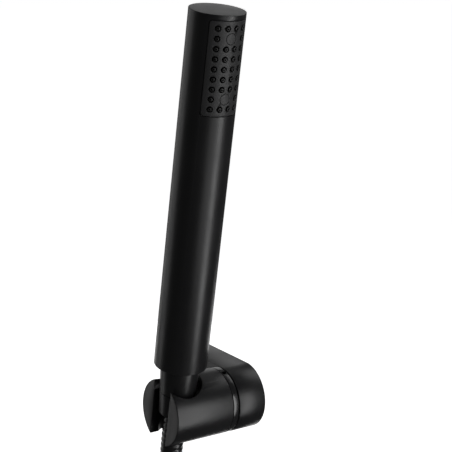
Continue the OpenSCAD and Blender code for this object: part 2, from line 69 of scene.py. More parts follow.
def along(node):
    # Lowest and highest place of a node along the handset's axis, and its widest radius, in metres.
    points = [offHandset @ v.co for v in frame["nodes"][node].data.vertices]
    heights = [p.z for p in points]
    return min(heights), max(heights), max(math.hypot(p.x, p.y) for p in points)


def directionFrom(turn, height):
    # Direction from the part, in degrees: turn round the vertical and height above the horizon.
    a = math.radians(turn)
    e = math.radians(height)
    return Vector((math.sin(a) * math.cos(e), -math.cos(a) * math.cos(e), math.sin(e)))


camera = {
    "place": (-0.4483, -0.6812, 0.2924),  # metres, in the part's frame
    "turn": -34.794,   # degrees round the vertical, 0 looks along +Y
    "height": 13.285,  # degrees above the horizon
    "roll": 1.023,
    "lens": 104.59,    # millimetres, as is the sensor
    "sensor": 36,
}


def makeCamera():
    data = bpy.data.cameras.new("camera")
    data.sensor_width = camera["sensor"]
    data.lens = camera["lens"]
    cam = bpy.data.objects.new("camera", data)
    bpy.context.scene.collection.objects.link(cam)
    back = directionFrom(camera["turn"], camera["height"])
    roll = Quaternion(back, math.radians(camera["roll"]))
    cam.rotation_mode = "QUATERNION"
    cam.rotation_quaternion = roll @ (-back).to_track_quat("-Z", "Y")
    cam.location = camera["place"]
    bpy.context.scene.camera = cam


makeCamera()
print("camera in place")


def nodeMaterial(name, colour, roughness, metallic=0.0):
    mat = bpy.data.materials.new(name)
    mat.use_nodes = True
    shader = mat.node_tree.nodes["Principled BSDF"]
    shader.inputs["Base Color"].default_value = (*colour, 1)
    shader.inputs["Roughness"].default_value = roughness
    shader.inputs["Metallic"].default_value = metallic
    return mat, mat.node_tree.nodes, mat.node_tree.links, shader


def noiseOf(nodes, links, scale, detail=3.0, roughness=0.5, stretch=(1, 1, 1)):
    coords = nodes.new("ShaderNodeTexCoord")
    mapping = nodes.new("ShaderNodeMapping")
    mapping.inputs["Scale"].default_value = stretch
    noise = nodes.new("ShaderNodeTexNoise")
    noise.inputs["Scale"].default_value = scale
    noise.inputs["Detail"].default_value = detail
    noise.inputs["Roughness"].default_value = roughness
    links.new(coords.outputs["Object"], mapping.inputs["Vector"])
    links.new(mapping.outputs["Vector"], noise.inputs["Vector"])
    return noise.outputs["Fac"]


def ranged(nodes, links, source, low, high, fromLow=0.3, fromHigh=0.7):
    node = nodes.new("ShaderNodeMapRange")
    node.inputs["From Min"].default_value = fromLow
    node.inputs["From Max"].default_value = fromHigh
    node.inputs["To Min"].default_value = low
    node.inputs["To Max"].default_value = high
    links.new(source, node.inputs["Value"])
    return node.outputs["Result"]


def mixedColour(nodes, links, fac, first, second):
    mix = nodes.new("ShaderNodeMix")
    mix.data_type = "RGBA"
    mix.inputs["A"].default_value = (*first, 1)
    mix.inputs["B"].default_value = (*second, 1)
    links.new(fac, mix.inputs["Factor"])
    return mix.outputs["Result"]


def bumpOf(nodes, links, shader, height, depth):
    bump = nodes.new("ShaderNodeBump")
    bump.inputs["Distance"].default_value = depth
    links.new(height, bump.inputs["Height"])
    links.new(bump.outputs["Normal"], shader.inputs["Normal"])


paint = {"driftScale": 45, "driftDetail": 4, "grainDetail": 2, "darker": 0.82, "lighter": 1.18}


def paintMaterial(name, colour, roughness, grain, grainDepth, spread=0.04):
    # Sprayed or moulded surface: fine grain in its height, slow drift in colour and roughness.
    mat, nodes, links, shader = nodeMaterial(name, colour, roughness)
    drift = noiseOf(nodes, links, paint["driftScale"], paint["driftDetail"])
    darker = tuple(c * paint["darker"] for c in colour)
    lighter = tuple(min(1, c * paint["lighter"]) for c in colour)
    links.new(mixedColour(nodes, links, drift, darker, lighter), shader.inputs["Base Color"])
    varied = ranged(nodes, links, drift, roughness - spread, roughness + spread)
    links.new(varied, shader.inputs["Roughness"])
    bumpOf(nodes, links, shader, noiseOf(nodes, links, grain, paint["grainDetail"]), grainDepth)
    return mat


metal = {
    "streakScale": 900, "streakDetail": 3, "streakRoughness": 0.6, "smoother": 0.07, "rougher": 0.1,
    "stainScale": 120, "stainDetail": 4, "darker": 0.8, "grainDepth": 0.00001, "stretch": (1, 1, 6),
}


def metalMaterial(name, colour, roughness):
    # Metal with fine level streaks, and slow stains in its colour.
    mat, nodes, links, shader = nodeMaterial(name, colour, roughness, 1.0)
    streaks = noiseOf(
        nodes, links, metal["streakScale"], metal["streakDetail"],
        metal["streakRoughness"], metal["stretch"],
    )
    varied = ranged(nodes, links, streaks, roughness - metal["smoother"], roughness + metal["rougher"])
    links.new(varied, shader.inputs["Roughness"])
    stain = noiseOf(nodes, links, metal["stainScale"], metal["stainDetail"])
    darker = tuple(c * metal["darker"] for c in colour)
    links.new(mixedColour(nodes, links, stain, darker, colour), shader.inputs["Base Color"])
    bumpOf(nodes, links, shader, streaks, metal["grainDepth"])
    return mat


finish = {
    "satinBlack": paintMaterial("satinBlack", (0.012, 0.012, 0.013), 0.36, 5200, 0.000012),
    "faceBlack": paintMaterial("faceBlack", (0.034, 0.034, 0.035), 0.5, 3600, 0.00006, 0.05),
    "glossBlack": paintMaterial("glossBlack", (0.016, 0.016, 0.017), 0.2, 5200, 0.000006),
    "softRubber": paintMaterial("softRubber", (0.006, 0.006, 0.006), 0.4, 2400, 0.00002),
    "sealRubber": paintMaterial("sealRubber", (0.01, 0.01, 0.01), 0.5, 1800, 0.00002),
    "strapRubber": paintMaterial("strapRubber", (0.018, 0.018, 0.019), 0.62, 1500, 0.00005),
    "linerPlastic": paintMaterial("linerPlastic", (0.008, 0.008, 0.009), 0.45, 2600, 0.00002),
    "greyPlastic": paintMaterial("greyPlastic", (0.36, 0.37, 0.39), 0.42, 1800, 0.00003),
    "hoseBlack": paintMaterial("hoseBlack", (0.014, 0.014, 0.015), 0.3, 3000, 0.00001),
    "steel": metalMaterial("steel", (0.62, 0.63, 0.65), 0.3),
    "rawBrass": metalMaterial("rawBrass", (0.72, 0.53, 0.25), 0.28),
}
print("finishes made:", len(finish))


def addPiece(name, mesh, body, material, replaced=(), sharpAngle=32):
    # Adds a finished mesh as a piece of the object, in the finish given, riding on a body.
    piece = bpy.data.objects.new(name, mesh)
    bpy.context.scene.collection.objects.link(piece)
    mesh.materials.clear()
    mesh.materials.append(material)
    mesh.shade_smooth()
    mesh.set_sharp_from_angle(angle=math.radians(sharpAngle))
    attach(piece, body)
    if replaced:
        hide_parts(*replaced)
    return piece


def meshFrom(name, verts, faces, place=None):
    mesh = bpy.data.meshes.new(name)
    mesh.from_pydata([tuple(v) for v in verts], [], faces)
    mesh.validate()
    if place is not None:
        mesh.transform(place)
    mesh.update()
    return mesh


def latheData(profile, steps=128):
    # Turns a closed outline of (radius, height) points round z. Points at radius 0 become poles.
    verts = []
    rings = []
    for r, z in profile:
        if r < 1e-9:
            rings.append([len(verts)] * steps)
            verts.append((0, 0, z))
        else:
            start = len(verts)
            rings.append([start + k for k in range(steps)])
            for k in range(steps):
                a = 2 * math.pi * k / steps
                verts.append((r * math.cos(a), r * math.sin(a), z))
    faces = []
    count = len(profile)
    for i in range(count):
        lower = rings[i]
        upper = rings[(i + 1) % count]
        if lower[0] == lower[1] and upper[0] == upper[1]:
            continue
        for k in range(steps):
            m = (k + 1) % steps
            loop = [lower[k], lower[m], upper[m], upper[k]]
            face = list(dict.fromkeys(loop))
            if len(face) > 2:
                faces.append(face)
    return verts, faces


def eased(profile, sizes, steps=4):
    # Rounds the corners of a closed outline: sizes gives the round's reach at each corner, or 0.
    out = []
    count = len(profile)
    for i, (p, size) in enumerate(zip(profile, sizes)):
        p = Vector(p)
        if size == 0:
            out.append(tuple(p))
            continue
        before = Vector(profile[i - 1]) - p
        after = Vector(profile[(i + 1) % count]) - p
        a = p + before.normalized() * size
        b = p + after.normalized() * size
        for s in range(steps + 1):
            t = s / steps
            out.append(tuple((1 - t) ** 2 * a + 2 * t * (1 - t) * p + t * t * b))
    return out


def lathePiece(name, profile, place, body, material, replaced=(), steps=128, sharpAngle=32):
    verts, faces = latheData(profile, steps)
    mesh = meshFrom(name, verts, faces, place)
    return addPiece(name, mesh, body, material, replaced, sharpAngle)


def scratchObject(name, mesh):
    obj = bpy.data.objects.new(name, mesh)
    bpy.context.scene.collection.objects.link(obj)
    return obj


rounding = {"weld": 0.000004, "steps": 2, "angle": 40}   # for the bevels left on cut edges


def carved(mesh, cutters, operation="DIFFERENCE", bevel=0.0):
    # Cuts, joins or intersects a mesh with the cutters, then rounds its sharp edges if there is a bevel.
    work = scratchObject("work", mesh)
    tools = []
    for cutter in cutters:
        tool = scratchObject("tool", cutter)
        tools.append(tool)
        mod = work.modifiers.new("cut", "BOOLEAN")
        mod.operation = operation
        mod.solver = "MANIFOLD"
        mod.object = tool
    if bevel > 0:
        weld = work.modifiers.new("weld", "WELD")
        weld.merge_threshold = rounding["weld"]
        mod = work.modifiers.new("bevel", "BEVEL")
        mod.width = bevel
        mod.segments = rounding["steps"]
        mod.limit_method = "ANGLE"
        mod.angle_limit = math.radians(rounding["angle"])
        mod.use_clamp_overlap = False
        mod.miter_outer = "MITER_ARC"
    graph = bpy.context.evaluated_depsgraph_get()
    graph.update()
    result = bpy.data.meshes.new_from_object(work.evaluated_get(graph))
    for obj in [work, *tools]:
        bpy.data.objects.remove(obj)
    return result


def cylinderMesh(name, radius, low, high, place=None, steps=96):
    verts, faces = latheData([(0, low), (radius, low), (radius, high), (0, high)], steps)
    return meshFrom(name, verts, faces, place)


def roundedOutline(width, length, radius, steps=6):
    points = []
    for cx, cy, start in ((1, 1, 0), (-1, 1, 90), (-1, -1, 180), (1, -1, 270)):
        for s in range(steps + 1):
            a = math.radians(start + 90 * s / steps)
            points.append((
                cx * (width / 2 - radius) + radius * math.cos(a),
                cy * (length / 2 - radius) + radius * math.sin(a),
            ))
    return points


def prismMesh(name, outline, low, high, place=None):
    # Straight prism over an outline given anticlockwise, from z = low to z = high.
    count = len(outline)
    verts = [(x, y, low) for x, y in outline] + [(x, y, high) for x, y in outline]
    faces = [[k, (k + 1) % count, count + (k + 1) % count, count + k] for k in range(count)]
    faces.append(list(range(count - 1, -1, -1)))
    faces.append(list(range(count, 2 * count)))
    return meshFrom(name, verts, faces, place)


def boxMesh(name, low, high, place=None):
    outline = [(low[0], low[1]), (high[0], low[1]), (high[0], high[1]), (low[0], high[1])]
    return prismMesh(name, outline, low[2], high[2], place)


hose = {
    "diameter": 14 * mm,
    "length": 1.5,
    "ribPitch": 3.5 * mm,   # one turn of the spiral rib
    "ribDepth": 0.95 * mm,
    "ringsPerRib": 6,
    "sides": 22,
    "grooveCurve": 0.5,     # lower makes the grooves narrower
    "stepsPerPoint": 24,
    "pathStep": 6,          # one in so many points goes into the cord's path
}
# The route's points, in millimetres from the middle of the socket: out of the nut, down to the
# place where the hose flexes, then on to the coil
leadRoute = [
    (0, -0.5, 3), (0, 1.9, -11.9), (0, 3.5, -22), (0, 4.9, -32), (0, 6.1, -41),
    (0, 6.8, -47.5), (0, 7, -54),
]
dropRoute = [
    (0, 7, -68), (-0.7, 7, -78), (-2.6, 7, -88), (-5.9, 7, -97.5), (-10.3, 7, -106.5),
    (-15.9, 7, -115), (-22.6, 7, -122.5), (-31.7, 7, -130.5),
]
endRoute = [
    (16.3, 5.4, -285.6), (31.1, 1.3, -278.8), (43.5, -4, -268.5), (52.7, -9.3, -255.5),
    (58.2, -13.4, -240.5), (59.7, -15, -225), (59.7, -15, -213), (59.7, -15, -202), (59.7, -15, -191),
]
coil = {
    "mid": (0, 7, -225),   # millimetres from the middle of the socket
    "radius": 98,       # of the outermost turn's middle
    "step": 14.3,       # each turn lies this much inside the last
    "start": 116.1,     # degrees, where the hose joins the coil
    "turn": 873.9,      # degrees in all
    "points": 18,       # for each turn
}
socketMid = np.array(axisPoint) / mm


def coilRoute():
    points = []
    x, y, z = coil["mid"]
    count = math.ceil(coil["turn"] / 360 * coil["points"])
    for i in range(count + 1):
        turned = coil["turn"] * i / count
        a = math.radians(coil["start"] + turned)
        r = coil["radius"] - coil["step"] * turned / 360
        points.append((x + r * math.cos(a), y, z + r * math.sin(a)))
    return points


def smoothRoute(points, gap):
    # Catmull-Rom curve through the points, then even steps of about the gap along it.
    p = np.array(points, float)
    p = np.vstack([2 * p[0] - p[1], p, 2 * p[-1] - p[-2]])
    dense = []
    for i in range(1, len(p) - 2):
        for t in np.linspace(0, 1, hose["stepsPerPoint"], endpoint=False):
            dense.append(0.5 * (
                2 * p[i] + (p[i + 1] - p[i - 1]) * t
                + (2 * p[i - 1] - 5 * p[i] + 4 * p[i + 1] - p[i + 2]) * t ** 2
                + (3 * p[i] - p[i - 1] - 3 * p[i + 1] + p[i + 2]) * t ** 3
            ))
    dense.append(p[-2])
    dense = np.array(dense)
    run = np.concatenate([[0], np.cumsum(np.linalg.norm(np.diff(dense, axis=0), axis=1))])
    places = np.linspace(0, run[-1], int(run[-1] / gap) + 1)
    return np.stack([np.interp(places, run, dense[:, k]) for k in range(3)], axis=1), places


def sweptFrames(line):
    # A pair of directions square to the line at each point, carried along it without twisting.
    ahead = np.gradient(line, axis=0)
    ahead /= np.linalg.norm(ahead, axis=1)[:, None]
    side = np.cross(ahead[0], [1.0, 0, 0])
    side /= np.linalg.norm(side)
    sides = []
    for d in ahead:
        side = side - d * (side @ d)
        side /= np.linalg.norm(side)
        sides.append(side)
    sides = np.array(sides)
    return sides, np.cross(ahead, sides)


def makeHose():
    route = np.array(leadRoute + dropRoute + coilRoute() + endRoute) + socketMid
    gap = hose["ribPitch"] / hose["ringsPerRib"] / mm
    line, places = smoothRoute(route, gap)
    sideA, sideB = sweptFrames(line)
    count = len(line)
    sides = hose["sides"]
    angles = 2 * np.pi * np.arange(sides) / sides
    phase = places[:, None] / (hose["ribPitch"] / mm) - angles[None, :] / (2 * np.pi)
    groove = np.abs(np.sin(np.pi * phase)) ** hose["grooveCurve"]  # 0 in the groove between two ribs
    radius = hose["diameter"] / 2 / mm - hose["ribDepth"] / mm * (1 - groove)
    outwards = (
        np.cos(angles)[None, :, None] * sideA[:, None, :]
        + np.sin(angles)[None, :, None] * sideB[:, None, :]
    )
    points = line[:, None, :] + radius[:, :, None] * outwards
    verts = (points.reshape(-1, 3) * mm).tolist()
    faces = []
    for i in range(count - 1):
        for k in range(sides):
            m = (k + 1) % sides
            faces.append([i * sides + k, i * sides + m, (i + 1) * sides + m, (i + 1) * sides + k])
    faces.append(list(range(sides - 1, -1, -1)))
    faces.append([(count - 1) * sides + k for k in range(sides)])
    mesh = meshFrom("showerHose", verts, faces)
    piece = bpy.data.objects.new("showerHose", mesh)
    bpy.context.scene.collection.objects.link(piece)
    mesh.materials.append(finish["hoseBlack"])
    mesh.shade_smooth()
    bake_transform(piece)
    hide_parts("hose_lead", "hose_bend", "hose_drop", "hose_coil", "hose_end_run")
    path = (line[::hose["pathStep"]] * mm).tolist() + [(line[-1] * mm).tolist()]
    print("hose length", round(float(places[-1]) * mm, 4))
    return piece, path


hosePiece, hosePath = makeHose()


ties = {
    "angles": (140, 255),   # degrees round the coil
    "width": 12, "thick": 1.6, "gap": 0.15, "rim": 0.35,   # millimetres
    "arcSteps": 12,
}


def makeTies():
    # Two rubber straps round the coil's turns, each a rounded band.
    r = hose["diameter"] / 2 / mm + ties["gap"]
    verts = []
    faces = []
    for angle in ties["angles"]:
        turned = angle - coil["start"]
        outer = coil["radius"] - coil["step"] * turned / 360
        inner = outer - 2 * coil["step"]
        section = []
        for mid, start in ((outer, -90), (inner, 90)):
            for s in range(ties["arcSteps"] + 1):
                a = math.radians(start + 180 * s / ties["arcSteps"])
                section.append((mid, math.cos(a), math.sin(a)))
        place = (
            Matrix.Translation(Vector(coil["mid"]) + Vector(socketMid))
            @ Matrix.Rotation(math.pi / 2, 4, "X") @ Matrix.Rotation(math.radians(angle), 4, "Z")
        )
        n = len(section)
        base = len(verts)
        half = ties["width"] / 2
        rim = ties["rim"]
        outerR = r + ties["thick"]
        layers = [
            (r, -half + rim), (r, half - rim), (r + rim, half), (outerR - rim, half),
            (outerR, half - rim), (outerR, -half + rim), (outerR - rim, -half), (r + rim, -half),
        ]
        for rad, w in layers:
            for mid, c, s in section:
                verts.append(place @ Vector((mid + rad * c, w, rad * s)) * mm)
        m = len(layers)
        for j in range(m):
            for k in range(n):
                k2 = (k + 1) % n
                j2 = (j + 1) % m
                faces.append([base + j * n + k, base + j2 * n + k, base + j2 * n + k2, base + j * n + k2])
    mesh = meshFrom("coilTies", verts, faces)
    return addPiece("coilTies", mesh, "hose", finish["strapRubber"], ["coil_ties"])


tiesPiece = makeTies()


tubeFoot, tubeHigh, tubeR = along("handle_tube")
handsetTop = along("end_cap")[1]
faceLow, faceHigh = along("spray_face")[:2]
handset = {
    "wall": 1.5 * mm,
    "footRound": 0.35 * mm,
    "topRound": 0.4 * mm,
    "boreRound": 0.2 * mm,
    "windowGap": 0.28 * mm,   # the dark line round the insert
    "windowBevel": 0.12 * mm,
    "spigotGap": 0.1 * mm,
    "spigotDepth": 2.5 * mm,
    "sides": 192,
}
insert = {
    "width": 23.6 * mm,
    "round": 1.3 * mm,
    "depth": 2.9 * mm,
    "fit": 0.12 * mm,
    "recess": 0.01 * mm,
    "halfAngle": 62,
    "holeFrom": -5 * mm,
    "holeTo": 2 * mm,
    "holeSides": 28,
    "bevel": 0.1 * mm,
}
nozzle = {
    "rows": 9, "columns": 4, "rowPitch": 5.6 * mm, "columnAngle": 20, "coverRow": 1,
    "tip": 1.2 * mm, "ring": 1.78 * mm, "out": 0.6 * mm, "jet": 0.42 * mm, "jetDepth": mm,
    "root": 3.2 * mm, "shoulder": 1.2 * mm, "neck": 0.9 * mm, "sides": 24,
}
matSheet = {
    "front": 0.1 * mm, "back": 1.1 * mm, "inset": 1.2 * mm, "halfAngle": 50, "steps": 48, "rows": 12,
}
cover = {
    "radius": 3.0 * mm, "under": 0.02 * mm, "rings": 6, "steps": 48,
    "seatGap": 0.22 * mm, "seatDepth": 1.1 * mm, "seatTop": 2 * mm,
    "edge": [(0, -1.0), (0, -0.12), (0.05, -0.03), (0.13, 0.0)],   # mm in from the rim, mm out of the face
}
firstRow = (faceLow + faceHigh) / 2 + (nozzle["rows"] - 1) / 2 * nozzle["rowPitch"]
coverHeights = [firstRow - nozzle["rowPitch"], firstRow - (nozzle["rows"] - 2) * nozzle["rowPitch"]]
outOfFace = Matrix.Rotation(math.pi / 2, 4, "X")  # z turned to point out of the spray face


def faceSlab(name, grow, depth):
    length = faceHigh - faceLow
    outline = roundedOutline(insert["width"] + 2 * grow, length + 2 * grow, insert["round"] + grow)
    place = Matrix.Translation((0, 0, (faceLow + faceHigh) / 2)) @ outOfFace
    return prismMesh(name, outline, 0, depth, place)


def makeTube():
    inner = tubeR - handset["wall"]
    profile = eased(
        [(inner, tubeFoot), (tubeR, tubeFoot), (tubeR, tubeHigh), (inner, tubeHigh)],
        [handset["boreRound"], handset["footRound"], 0, 0],
    )
    verts, faces = latheData(profile, handset["sides"])
    body = meshFrom("handleTube", verts, faces)
    window = faceSlab("window", handset["windowGap"], 2 * tubeR)
    mesh = carved(body, [window], bevel=handset["windowBevel"])
    mesh.transform(onHandset)
    return addPiece("handleTube", mesh, "handset", finish["satinBlack"], ["handle_tube"])


def makeCap():
    spigot = tubeR - handset["wall"] - handset["spigotGap"]
    foot = tubeHigh
    low = foot - handset["spigotDepth"]
    profile = eased(
        [(0, low), (spigot, low), (spigot, foot), (tubeR, foot), (tubeR, handsetTop), (0, handsetTop)],
        [0, 0, 0, 0, handset["topRound"], 0], 6,
    )
    return lathePiece(
        "endCap", profile, onHandset, "handset", finish["satinBlack"], ["end_cap"],
        handset["sides"],
    )


def nozzleTree():
    # Geometry nodes: repeats one nozzle over the spray face in rows and columns, round the tube.
    tree = bpy.data.node_groups.new("nozzleRows", "GeometryNodeTree")
    face = tree.interface
    face.new_socket("Geometry", in_out="INPUT", socket_type="NodeSocketGeometry")
    face.new_socket("Geometry", in_out="OUTPUT", socket_type="NodeSocketGeometry")
    keys = {}
    for label, kind in (
        ("Rows", "NodeSocketInt"), ("Columns", "NodeSocketInt"), ("Row pitch", "NodeSocketFloat"),
        ("Column angle", "NodeSocketFloat"), ("Radius", "NodeSocketFloat"),
        ("First row", "NodeSocketFloat"), ("Cover row", "NodeSocketInt"), ("Finish", "NodeSocketMaterial"),
    ):
        keys[label] = face.new_socket(label, in_out="INPUT", socket_type=kind).identifier
    nodes = tree.nodes
    links = tree.links
    entry = nodes.new("NodeGroupInput")
    leave = nodes.new("NodeGroupOutput")

    def maths(operation, a, b=None):
        node = nodes.new("ShaderNodeMath")
        node.operation = operation
        for slotIndex, value in enumerate((a, b)):
            if value is None:
                continue
            if isinstance(value, (int, float)):
                node.inputs[slotIndex].default_value = value
            else:
                links.new(value, node.inputs[slotIndex])
        return node.outputs[0]

    index = nodes.new("GeometryNodeInputIndex").outputs[0]
    total = maths("MULTIPLY", entry.outputs["Rows"], entry.outputs["Columns"])
    points = nodes.new("GeometryNodePoints")
    links.new(total, points.inputs["Count"])
    row = maths("FLOOR", maths("DIVIDE", index, entry.outputs["Columns"]))
    column = maths("MODULO", index, entry.outputs["Columns"])
    middle = maths("MULTIPLY", maths("SUBTRACT", entry.outputs["Columns"], 1), 0.5)
    offset = maths("SUBTRACT", column, middle)
    angle = maths("MULTIPLY", offset, entry.outputs["Column angle"])
    below = maths("MULTIPLY", row, entry.outputs["Row pitch"])
    height = maths("SUBTRACT", entry.outputs["First row"], below)
    place = nodes.new("ShaderNodeCombineXYZ")
    links.new(maths("MULTIPLY", maths("SINE", angle), entry.outputs["Radius"]), place.inputs["X"])
    depth = maths("MULTIPLY", maths("COSINE", angle), entry.outputs["Radius"])
    links.new(maths("MULTIPLY", depth, -1), place.inputs["Y"])
    links.new(height, place.inputs["Z"])
    links.new(place.outputs[0], points.inputs["Position"])
    # The two middle columns leave room for a screw cover in the second row from each end
    fromEnd = maths("MINIMUM", row, maths("SUBTRACT", maths("SUBTRACT", entry.outputs["Rows"], 1), row))
    nearRow = maths("COMPARE", fromEnd, entry.outputs["Cover row"])
    nearMiddle = maths("LESS_THAN", maths("ABSOLUTE", offset), 1)
    drop = nodes.new("GeometryNodeDeleteGeometry")
    drop.domain = "POINT"
    links.new(maths("MULTIPLY", nearRow, nearMiddle), drop.inputs["Selection"])
    turn = nodes.new("ShaderNodeCombineXYZ")
    turn.inputs["X"].default_value = math.pi / 2
    links.new(angle, turn.inputs["Z"])
    # The turn is kept on each point first, because the points that are left are numbered anew
    store = nodes.new("GeometryNodeStoreNamedAttribute")
    store.data_type = "FLOAT_VECTOR"
    store.domain = "POINT"
    store.inputs["Name"].default_value = "turn"
    links.new(points.outputs[0], store.inputs["Geometry"])
    links.new(turn.outputs[0], store.inputs["Value"])
    links.new(store.outputs[0], drop.inputs["Geometry"])
    kept = nodes.new("GeometryNodeInputNamedAttribute")
    kept.data_type = "FLOAT_VECTOR"
    kept.inputs["Name"].default_value = "turn"
    spread = nodes.new("GeometryNodeInstanceOnPoints")
    links.new(drop.outputs[0], spread.inputs["Points"])
    links.new(entry.outputs["Geometry"], spread.inputs["Instance"])
    links.new(kept.outputs[0], spread.inputs["Rotation"])
    solid = nodes.new("GeometryNodeRealizeInstances")
    links.new(spread.outputs[0], solid.inputs[0])
    coat = nodes.new("GeometryNodeSetMaterial")
    links.new(solid.outputs[0], coat.inputs["Geometry"])
    links.new(entry.outputs["Finish"], coat.inputs["Material"])
    links.new(coat.outputs[0], leave.inputs[0])
    return tree, keys


nozzleRows, nozzleKeys = nozzleTree()


def repeated(mesh, material):
    # One nozzle mesh, z outwards from the tube's surface, repeated over the face as a plain mesh.
    work = scratchObject("work", mesh)
    mod = work.modifiers.new("rows", "NODES")
    mod.node_group = nozzleRows
    mod[nozzleKeys["Rows"]] = nozzle["rows"]
    mod[nozzleKeys["Columns"]] = nozzle["columns"]
    mod[nozzleKeys["Row pitch"]] = nozzle["rowPitch"]
    mod[nozzleKeys["Column angle"]] = math.radians(nozzle["columnAngle"])
    mod[nozzleKeys["Radius"]] = tubeR
    mod[nozzleKeys["First row"]] = firstRow
    mod[nozzleKeys["Cover row"]] = nozzle["coverRow"]
    mod[nozzleKeys["Finish"]] = material
    graph = bpy.context.evaluated_depsgraph_get()
    result = bpy.data.meshes.new_from_object(work.evaluated_get(graph))
    bpy.data.objects.remove(work)
    if "turn" in result.attributes:
        result.attributes.remove(result.attributes["turn"])
    return result


def shellMesh(name, outer, inner, low, high, halfAngle, steps=72, rows=24):
    # Part of a tube's wall, facing out of the spray face, between two heights.
    verts = []
    for r in (outer, inner):
        for j in range(rows + 1):
            z = low + (high - low) * j / rows
            for k in range(steps + 1):
                a = -halfAngle + 2 * halfAngle * k / steps
                verts.append((r * math.sin(a), -r * math.cos(a), z))
    wide = steps + 1
    layer = wide * (rows + 1)
    faces = []
    for j in range(rows):
        for k in range(steps):
            a = j * wide + k
            faces.append([a, a + 1, a + 1 + wide, a + wide])
            faces.append([layer + a, layer + a + wide, layer + a + wide + 1, layer + a + 1])
    for k in range(steps):
        faces.append([k, layer + k, layer + k + 1, k + 1])
        top = rows * wide + k
        faces.append([top, top + 1, layer + top + 1, layer + top])
    for j in range(rows):
        a = j * wide
        faces.append([a, a + wide, layer + a + wide, layer + a])
        b = a + steps
        faces.append([b, layer + b, layer + b + wide, b + wide])
    return meshFrom(name, verts, faces)


def makeFace():
    inner = tubeR - insert["depth"]
    wide = math.radians(insert["halfAngle"])
    shell = shellMesh("sprayFace", tubeR - insert["recess"], inner, faceLow - mm, faceHigh + mm, wide)
    slab = faceSlab("slab", -insert["fit"], 2 * tubeR)
    panel = carved(shell, [slab], "INTERSECT")
    hole = cylinderMesh(
        "hole", nozzle["ring"], insert["holeFrom"], insert["holeTo"], steps=insert["holeSides"])
    holes = repeated(hole, finish["faceBlack"])
    cutters = [holes]
    for height in coverHeights:
        place = Matrix.Translation((0, 0, height)) @ outOfFace
        seat = cover["radius"] + cover["seatGap"]
        low = tubeR - cover["seatDepth"]
        cutters.append(cylinderMesh("seat", seat, low, tubeR + cover["seatTop"], place, cover["steps"]))
    mesh = carved(panel, cutters, bevel=insert["bevel"])
    mesh.transform(onHandset)
    return addPiece("sprayFace", mesh, "handset", finish["faceBlack"], ["spray_face"], 35)


def makeNozzles():
    # Silicone mat: a thin curved sheet behind the insert, with a nipple through each of its holes.
    r = nozzle["tip"]
    top = nozzle["out"]
    jet = nozzle["jet"]
    profile = [
        (0, -nozzle["root"]), (r * 1.1, -nozzle["root"]), (r * 1.1, -nozzle["shoulder"]),
        (r, -nozzle["neck"]), (r * 0.97, top * 0.35), (r * 0.88, top * 0.78), (r * 0.72, top * 0.97),
        (jet * 1.3, top), (jet, top * 0.8), (jet * 0.9, -nozzle["jetDepth"]), (0, -nozzle["jetDepth"]),
    ]
    verts, faces = latheData(profile, nozzle["sides"])
    nipples = repeated(meshFrom("nipple", verts, faces), finish["softRubber"])
    behind = tubeR - insert["depth"]
    sheet = shellMesh(
        "sheet", behind - matSheet["front"], behind - matSheet["back"],
        faceLow + matSheet["inset"], faceHigh - matSheet["inset"],
        math.radians(matSheet["halfAngle"]), matSheet["steps"], matSheet["rows"],
    )
    mesh = carved(nipples, [sheet], "UNION")
    mesh.transform(onHandset)
    return addPiece("nozzleMat", mesh, "handset", finish["softRubber"], ["nozzle_mat"], 40)


def makeCovers():
    # Round screw covers that follow the tube's curve.
    verts = []
    faces = []
    rings = cover["rings"]
    steps = cover["steps"]
    r0 = cover["radius"]
    crown = tubeR - cover["under"]
    for height in coverHeights:
        base = len(verts)
        loops = [(r0 - inwards * mm, drop) for inwards, drop in cover["edge"]]
        loops += [(r0 * (rings - i) / rings, 0.0) for i in range(1, rings)]
        for r, drop in loops:
            for k in range(steps):
                a = 2 * math.pi * k / steps
                x = r * math.cos(a)
                z = height + r * math.sin(a)
                depth = math.sqrt(crown ** 2 - x * x)
                verts.append((x, -depth - drop * mm, z))
        count = len(loops)
        for j in range(count - 1):
            for k in range(steps):
                m = (k + 1) % steps
                here = base + j * steps
                faces.append([here + m, here + steps + m, here + steps + k, here + k])
        verts.append((0, -crown, height))
        tip = len(verts) - 1
        last = base + (count - 1) * steps
        for k in range(steps):
            faces.append([last + k, last + (k + 1) % steps, tip])
        faces.append([base + k for k in range(steps)][::-1])
    mesh = meshFrom("screwCovers", verts, faces, onHandset)
    recalculated(mesh)
    return addPiece("screwCovers", mesh, "handset", finish["faceBlack"], ["screw_covers"], 50)


def recalculated(mesh):
    bm = bmesh.new()
    bm.from_mesh(mesh)
    bmesh.ops.recalc_face_normals(bm, faces=bm.faces)
    bm.to_mesh(mesh)
    bm.free()


makeTube()
makeCap()
makeFace()
makeNozzles()
makeCovers()
print("handset made")


nutLow, nutHigh, nutR = along("cone_nut")
sleeveLow, sleeveHigh = along("cone_sleeve")[:2]
nut = {
    "bore": 6.1 * mm, "relief": 10.4 * mm, "reliefDepth": 8 * mm, "step": 5 * mm,
    "footRound": 0.35 * mm, "topRound": 0.4 * mm,
}
sleeve = {
    "footRadius": 10.15 * mm, "bore": 8.5 * mm, "neck": 6.2 * mm, "neckDepth": 3 * mm,
    "boreRound": 0.3 * mm, "footRound": 1.3 * mm, "topRound": 0.35 * mm,
}


def coneAt(height):
    # Radius of the cone that the nut and the sleeve share.
    foot = sleeve["footRadius"]
    return foot + (nutR - foot) * (height - sleeveLow) / (nutHigh - sleeveLow)


